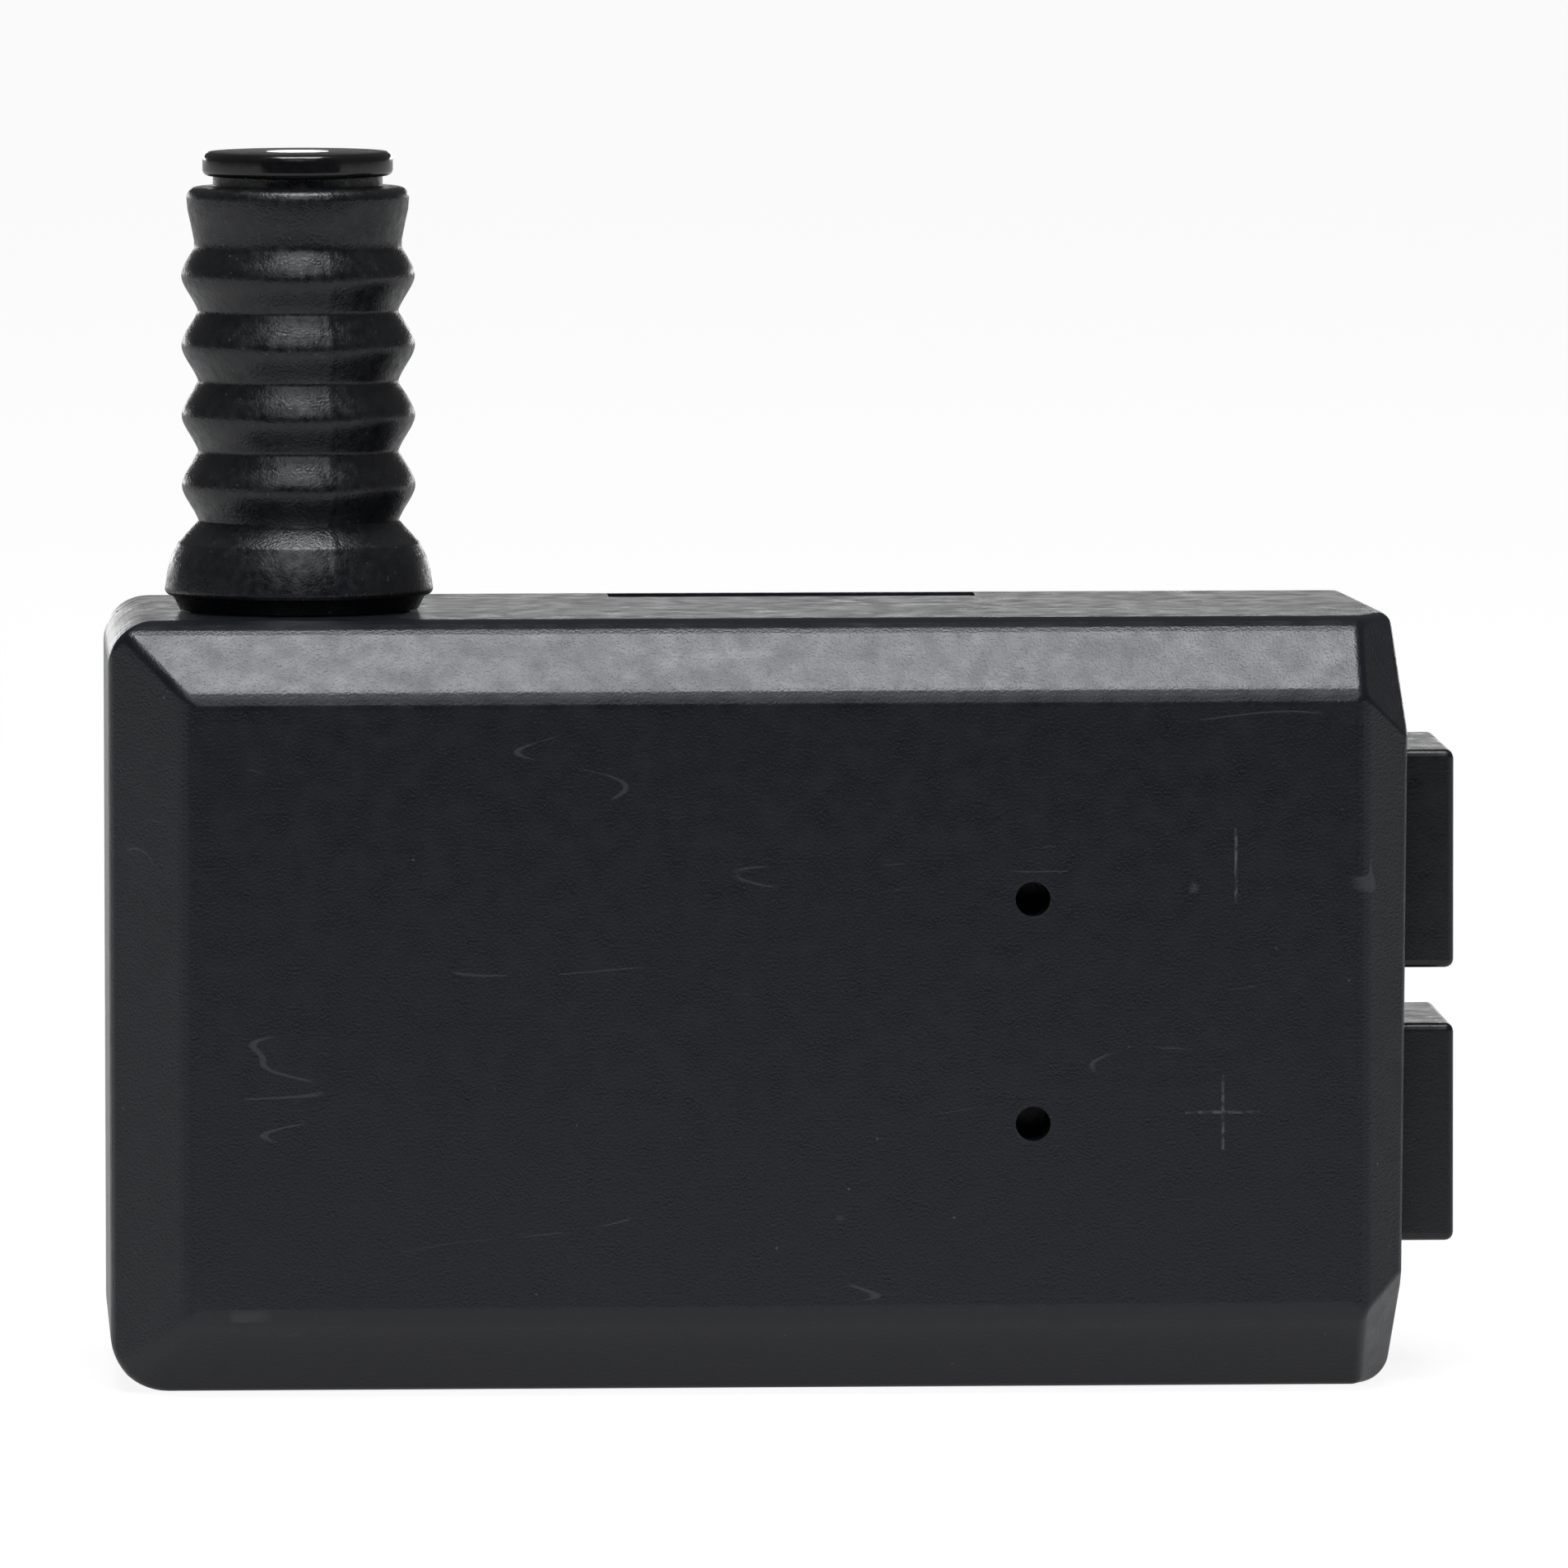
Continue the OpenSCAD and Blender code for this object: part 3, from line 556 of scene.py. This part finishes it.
dress(moulding("case_shell", "housing"), "case")
dress(moulding("cover_plate", "rear_cover"), "case")

# ---------- polarity marks ----------

MARK_LENGTH = 2.3
MARK_WIDTH = 0.09
MARK_HEIGHT = 0.012
PLUS = (13.39, 8.69)  # the middle of each mark on the front face, as (x, z)
MINUS = (13.79, 16.28)


def stroke(bm, centre, across, up):
    """A fine flat bar on the front face."""
    x, z = centre
    low = Vector((x - across / 2, FRONT + SKIN - MARK_HEIGHT, z - up / 2))
    high = Vector((x + across / 2, FRONT + 2 * SKIN, z + up / 2))
    part = block(low, high)
    mesh = bpy.data.meshes.new("stroke")
    part.to_mesh(mesh)
    part.free()
    bm.from_mesh(mesh)
    bpy.data.meshes.remove(mesh)


def polarity_marks():
    bm = bmesh.new()
    stroke(bm, PLUS, MARK_LENGTH, MARK_WIDTH)
    arm = (MARK_LENGTH - MARK_WIDTH) / 2
    for side in (-1, 1):
        stroke(bm, (PLUS[0], PLUS[1] + side * (MARK_WIDTH + arm) / 2), MARK_WIDTH, arm)
    stroke(bm, MINUS, MARK_WIDTH, MARK_LENGTH)
    obj = make_object("polarity_marks", bm)
    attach(obj, "case")
    return dress(obj, "mark")


polarity_marks()

# ---------- terminal shrouds ----------

SHROUD_ROUND = 0.26
MOUTH_ROUND = 0.14
SHROUD_WALL = 0.9
SHROUD_H = 6.76
SHROUD_INNER_X = RIGHT - 2.1  # where a shroud's straight walls start, inside the case's end
SAME = 0.01  # millimetres between two places that count as one


def terminal_shroud(name, node):
    """A shroud with its outer corners and its mouth rounded."""
    obj = cad_copy(name, node)
    low, high = box_mm(node)
    half_d = high.y
    middle_z = (low.z + high.z) / 2

    def on_outside(vert):
        across = abs(abs(vert.co.z - middle_z) - SHROUD_H / 2)
        deep = abs(abs(vert.co.y) - half_d)
        return vert.co.x > SHROUD_INNER_X and (across < SAME or deep < SAME)

    def at_mouth(vert):
        return abs(vert.co.x - high.x) < SAME and abs(vert.co.y) < half_d - SHROUD_WALL / 2

    def outer(edge):
        return is_sharp(edge, 60) and all(on_outside(v) for v in edge.verts)

    def mouth(edge):
        return is_sharp(edge, 60) and all(at_mouth(v) for v in edge.verts)

    def shape(bm):
        round_edges(bm, SHROUD_ROUND, outer)
        round_edges(bm, MOUTH_ROUND, mouth, segments=3)

    edit(obj, shape)
    smooth(obj)
    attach(obj, "case")
    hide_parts(node)
    return dress(obj, "shroud")


for level in ("upper", "lower"):
    terminal_shroud(f"{level}_shroud", f"{level}_terminal_shroud")

# ---------- boot and cap ----------

FOLDS = 4
FOLD_PITCH = 2.17
FIRST_VALLEY = TOP + 2.78
LAST_VALLEY = FIRST_VALLEY + FOLDS * FOLD_PITCH
CREST_R = 3.62
VALLEY_R = 3.11
SKIRT_R = 4.16
FOOT_R = 3.7
RUBBER_T = 0.5
CREST_ROUND = 0.30
FOLD_SOFTNESS = 0.35
FOLD_SAMPLES = 24
COLLAR_LOW_R = 3.22
COLLAR_R = 3.45
COLLAR_BLEND = 0.4  # how far the collar reaches down into the last fold
COLLAR_ROUND = 0.33
SKIRT_ROUND = 0.2
SHOULDER_ROUND = 0.25
NECK_R = 2.63
CAP_T = 0.75
CAP_UNDER = cap_high.z - CAP_T
CAP_GAP = 0.02  # between the boot and the cap, and a little more between the boot and the case
CLAMP_T = 0.85  # how thick the boot is where the cap clamps it
FOOT_INNER_R = 3.0
SKIRT_INNER_R = 3.35
CLAMP_INNER_R = 1.55
PARTING_LINE_AT = 286  # degrees round the axis
PARTING_LINE_HEIGHT = 0.03
HUB_R = 1.5
PEG_R = 0.98
RIM_ROUND = 0.25
RIM_UNDER_ROUND = 0.2


def fold(s):
    """Height of a fold for s from -1 to 1: a rounded crest between softer valleys."""
    end = math.hypot(1, CREST_ROUND)
    ridge = (end - math.hypot(s, CREST_ROUND)) / (end - CREST_ROUND)
    wave = 0.5 + 0.5 * math.cos(math.pi * s)
    return ridge + (wave - ridge) * FOLD_SOFTNESS


def boot_profile():
    """Closed outline of the boot as (radius, height), from its foot up the outside and back down."""
    folds = [(VALLEY_R + (CREST_R - VALLEY_R) * fold(2 * (i % FOLD_SAMPLES) / FOLD_SAMPLES - 1),
              FIRST_VALLEY + FOLD_PITCH * i / FOLD_SAMPLES) for i in range(FOLDS * FOLD_SAMPLES + 1)]
    skirt = [(FOOT_R, TOP + 0.03), (FOOT_R + 0.2, TOP + 0.42)]
    skirt += arc((SKIRT_R - SKIRT_ROUND, TOP + 0.66), SKIRT_ROUND, 270, 375, 6)
    skirt += [(SKIRT_R - 0.08, TOP + 1.2), (SKIRT_R - 0.2, TOP + 1.65)]
    skirt += arc((SKIRT_R - 0.62, TOP + 1.93), SHOULDER_ROUND, 15, 60, 4)
    outside = [(max(r, COLLAR_LOW_R) if z > LAST_VALLEY - COLLAR_BLEND else r, z) for r, z in folds]
    collar = [(COLLAR_R - 0.13, LAST_VALLEY + 0.5), (COLLAR_R - 0.03, LAST_VALLEY + 0.95)]
    collar += arc((COLLAR_R - COLLAR_ROUND, LAST_VALLEY + 1.32), COLLAR_ROUND, -5, 85, 8)
    top = CAP_UNDER - CAP_GAP
    collar += [(NECK_R, LAST_VALLEY + 1.68), (NECK_R, top)]
    inner_top = CAP_UNDER - CLAMP_T
    inside = [(CLAMP_INNER_R, top), (CLAMP_INNER_R, inner_top), (CREST_R - 0.85, inner_top)]
    inside += [(r - RUBBER_T, z) for r, z in reversed(folds)]
    inside += [(SKIRT_INNER_R, TOP + 2.0), (SKIRT_INNER_R, TOP + 1.15)]
    inside += [(FOOT_INNER_R, TOP + 1.15), (FOOT_INNER_R, TOP + 0.03)]
    return skirt + outside + collar + inside


def bellows_boot():
    """The ribbed boot, which shortens between the case and the plunger."""
    obj = lathe("ribbed_boot", boot_profile(), steps=180,
                line_at=PARTING_LINE_AT, line_height=PARTING_LINE_HEIGHT)
    smooth(obj, 50)
    dress(obj, "boot")
    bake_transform(obj)
    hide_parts("bellows_boot")
    return obj


def plunger_cap():
    """The glossy cap: a disc with a rounded rim and the hub below."""
    r = (cap_high.x - cap_low.x) / 2
    hub_low = cap_low.z
    shoulder = CAP_UNDER - CLAMP_T
    profile = [(0, hub_low), (PEG_R, hub_low), (PEG_R, shoulder), (HUB_R, shoulder), (HUB_R, CAP_UNDER)]
    profile += arc((r - RIM_UNDER_ROUND, CAP_UNDER + RIM_UNDER_ROUND), RIM_UNDER_ROUND, 270, 360, 6)
    profile += arc((r - RIM_ROUND, cap_high.z - RIM_ROUND), RIM_ROUND, 0, 90, 8)
    profile += [(0, cap_high.z)]
    obj = lathe("glossy_cap", profile, steps=128)
    smooth(obj, 50)
    dress(obj, "cap")
    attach(obj, "plunger")
    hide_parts("plunger_cap")
    return obj


bellows_boot()
plunger_cap()

# ---------- springs ----------


def coil(name, axis, low, high, centre, radius, wire, turns, steps=36, sides=10):
    """A coil spring along X or Z whose end turns lie close."""
    bm = bmesh.new()
    length = high - low
    rise = length - 2 * wire
    pitch_end = 2 * wire * 1.05

    def height(t):
        if t < 1:
            return t * pitch_end
        if t > turns - 1:
            return rise - (turns - t) * pitch_end
        return pitch_end + (t - 1) * (rise - 2 * pitch_end) / (turns - 2)

    rings = []
    for i in range(turns * steps + 1):
        angle = 2 * math.pi * i / steps
        out = Vector((math.cos(angle), math.sin(angle), 0))
        along = low + wire + height(i / steps)
        ring = []
        for k in range(sides):
            b = 2 * math.pi * k / sides
            p = out * (radius + wire * math.cos(b)) + Vector((0, 0, along + wire * math.sin(b)))
            if axis == "X":
                p = Vector((p.z, p.y, -p.x))
            ring.append(bm.verts.new(p + Vector(centre)))
        rings.append(ring)
    for here, there in zip(rings, rings[1:]):
        for k in range(sides):
            bm.faces.new((here[k], here[(k + 1) % sides], there[(k + 1) % sides], there[k]))
    bm.faces.new(rings[0])
    bm.faces.new(rings[-1])
    obj = make_object(name, bm)
    smooth(obj, 50)
    return dress(obj, "steel")


def return_coil():
    """The spring that pushes the plunger up."""
    low, high = box_mm("return_spring")
    obj = coil("return_coil", "Z", low.z, high.z, (AXIS_X, 0, 0), radius=1.45, wire=0.22, turns=10)
    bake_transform(obj)
    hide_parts("return_spring")


def pusher_coil():
    """The spring that presses the pusher onto the rocker."""
    low, high = box_mm("pusher_spring")
    middle = (low + high) / 2
    obj = coil("pusher_coil", "X", low.x, high.x, (0, middle.y, middle.z),
               radius=1.05, wire=0.15, turns=6, sides=8)
    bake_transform(obj)
    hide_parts("pusher_spring")


return_coil()
pusher_coil()

# ---------- pieces kept from the CAD model ----------

KEPT = {
    "acetal": ["guide_bush", "plunger_rod", "pusher"],
    "sealant": ["seam_sealant"],
    "seal": ["upper_terminal_seal", "lower_terminal_seal"],
    "copper": ["contact_rocker"],
    "tinned": ["negative_terminal", "positive_terminal"],
    "silver": ["moving_contact", "fixed_contact"],
    "magnet": ["front_magnet", "rear_magnet"],
}
for material, nodes in KEPT.items():
    for node in nodes:
        dress(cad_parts[node], material)

# ---------- stage, light and camera ----------


def plane(name, size, place, facing, material):
    """A square stage plane, in metres."""
    bm = bmesh.new()
    bmesh.ops.create_grid(bm, x_segments=1, y_segments=1, size=size / 2)
    mesh = bpy.data.meshes.new(name)
    bm.to_mesh(mesh)
    bm.free()
    obj = bpy.data.objects.new(name, mesh)
    obj.location = place
    obj.rotation_euler = Vector(facing).to_track_quat("Z", "Y").to_euler()
    bpy.context.scene.collection.objects.link(obj)
    obj.data.materials.append(material)
    return obj


def flat_material(name, color, roughness=0.9):
    material = bpy.data.materials.new(name)
    material.use_nodes = True
    shader = material.node_tree.nodes["Principled BSDF"]
    shader.inputs["Base Color"].default_value = (*color, 1)
    shader.inputs["Roughness"].default_value = roughness
    shader.inputs["Specular IOR Level"].default_value = 0.1
    return material


def glowing(name, tone, glow):
    """Matt white that also glows, as evenly lit paper does."""
    material = flat_material(name, (tone,) * 3)
    shader = material.node_tree.nodes["Principled BSDF"]
    shader.inputs["Emission Color"].default_value = (1, 1, 1, 1)
    shader.inputs["Emission Strength"].default_value = glow
    return material


def bounce_material():
    """Paper that glows less round the object than further out: painted shade round the object, mirrored in
    its lower faces.
    """
    n = Nodes("bounce_floor")
    distance = n.add("ShaderNodeVectorMath", operation="LENGTH")
    n.link(n.place, distance.inputs[0])
    # painted shade: the glow is lower near the object than 0.25 m away
    glow = n.span(distance.outputs["Value"], 0.05, 0.25, PAINTED_SHADE_GLOW_NEAR, BOUNCE_GLOW_FAR)
    return n.set(Base_Color=(BOUNCE_TONE,) * 3, Roughness=0.9, Specular_IOR_Level=0.1,
                 Emission_Color=(1.0, 1.0, 1.0), Emission_Strength=glow)


def wall(name, radius, height, material, degrees=360, steps=96):
    """A curved wall in metres, centred behind the object."""
    bm = bmesh.new()
    curve = arc((0, 0), radius, 90 - degrees / 2, 90 + degrees / 2, steps)
    rims = [[bm.verts.new((x, y, z)) for x, y in curve] for z in (0, height)]
    for k in range(steps):
        bm.faces.new((rims[0][k], rims[1][k], rims[1][k + 1], rims[0][k + 1]))
    mesh = bpy.data.meshes.new(name)
    bm.to_mesh(mesh)
    bm.free()
    obj = bpy.data.objects.new(name, mesh)
    bpy.context.scene.collection.objects.link(obj)
    obj.data.materials.append(material)
    return obj


def softbox(name, size, place, target, radiance, color=(1, 1, 1)):
    """A rectangular light of that size and brightness, in metres."""
    light = bpy.data.lights.new(name, "AREA")
    light.shape = "RECTANGLE"
    light.size, light.size_y = size
    light.energy = radiance * math.pi * size[0] * size[1]
    light.color = color
    obj = bpy.data.objects.new(name, light)
    obj.location = place
    obj.rotation_euler = (Vector(target) - Vector(place)).to_track_quat("-Z", "Y").to_euler()
    bpy.context.scene.collection.objects.link(obj)
    return obj


ROOM_TONE = 0.10
PAPER_TONE, PAPER_GLOW = 0.12, 0.90  # the floor as it is seen
BOUNCE_TONE = 0.36  # the floor as it lights the object
# the bounce floor glows less near the object than far off: painted shade round the object
PAINTED_SHADE_GLOW_NEAR, BOUNCE_GLOW_FAR = 0.28, 0.35
FLOOR_SIZE = 12
BACKDROP_R, BACKDROP_GLOW = 5.9, 0.98
HORIZON_R, HORIZON_HEIGHT, HORIZON_GLOW = 3.0, 0.28, 4.3  # the bright strip that the object mirrors
COOL = (0.955, 0.972, 1.0)


def stage_and_light():
    paper = glowing("pale_floor", PAPER_TONE, PAPER_GLOW)
    floor = plane("floor", FLOOR_SIZE, (0, 0, 0), (0, 0, 1), paper)
    floor.visible_diffuse = floor.visible_glossy = floor.visible_shadow = False
    bounce = plane("bounce_floor", FLOOR_SIZE, (0, 0, -0.0005), (0, 0, 1), bounce_material())
    bounce.visible_camera = False
    backdrop = wall("backdrop", BACKDROP_R, BACKDROP_R, glowing("pale_backdrop", 0.0, BACKDROP_GLOW))
    backdrop.visible_diffuse = backdrop.visible_glossy = backdrop.visible_shadow = False
    bright = glowing("bright_horizon", 0.0, HORIZON_GLOW)
    horizon = wall("horizon", HORIZON_R, HORIZON_HEIGHT, bright, degrees=60)
    horizon.visible_camera = horizon.visible_diffuse = horizon.visible_shadow = False
    cloth = flat_material("black_cloth", (0.01, 0.01, 0.01))
    card = plane("dark_card", 0.3, (0, -0.13, 0.15), (0, 1, 0), cloth)
    card.visible_camera = card.visible_shadow = False
    softbox("overhead", (0.4, 0.30), (0, -0.10, 0.75), (0, 0, 0), 10.8, COOL)
    softbox("front_top", (0.3, 0.25), (-0.03, -0.5, 0.52), (0, 0, 0.02), 14.0, COOL)
    world = bpy.data.worlds.new("studio")
    world.use_nodes = True
    background = world.node_tree.nodes["Background"]
    background.inputs["Color"].default_value = (ROOM_TONE, ROOM_TONE, ROOM_TONE, 1)
    bpy.context.scene.world = world
    bpy.context.scene.view_settings.view_transform = "Standard"


def photo_camera():
    """A long lens a little above and to the left, as the reference view has it."""
    yaw, pitch, roll = (math.radians(a) for a in (2.494, -4.136, -0.085))
    ahead = Vector((math.sin(yaw) * math.cos(pitch), math.cos(yaw) * math.cos(pitch), math.sin(pitch)))
    level = Vector((math.cos(yaw), -math.sin(yaw), 0))
    above = level.cross(ahead)
    right = level * math.cos(roll) + above * math.sin(roll)
    up = above * math.cos(roll) - level * math.sin(roll)
    data = bpy.data.cameras.new("camera")
    data.lens = 467.4
    data.sensor_width = 36
    data.clip_start, data.clip_end = 0.01, 20
    obj = bpy.data.objects.new("camera", data)
    turn = Matrix((right, up, -ahead)).transposed().to_4x4()
    obj.matrix_world = Matrix.Translation(Vector((-27.2, -630.2, 63.9)) * MM) @ turn
    bpy.context.scene.collection.objects.link(obj)
    bpy.context.scene.camera = obj


stage_and_light()
photo_camera()
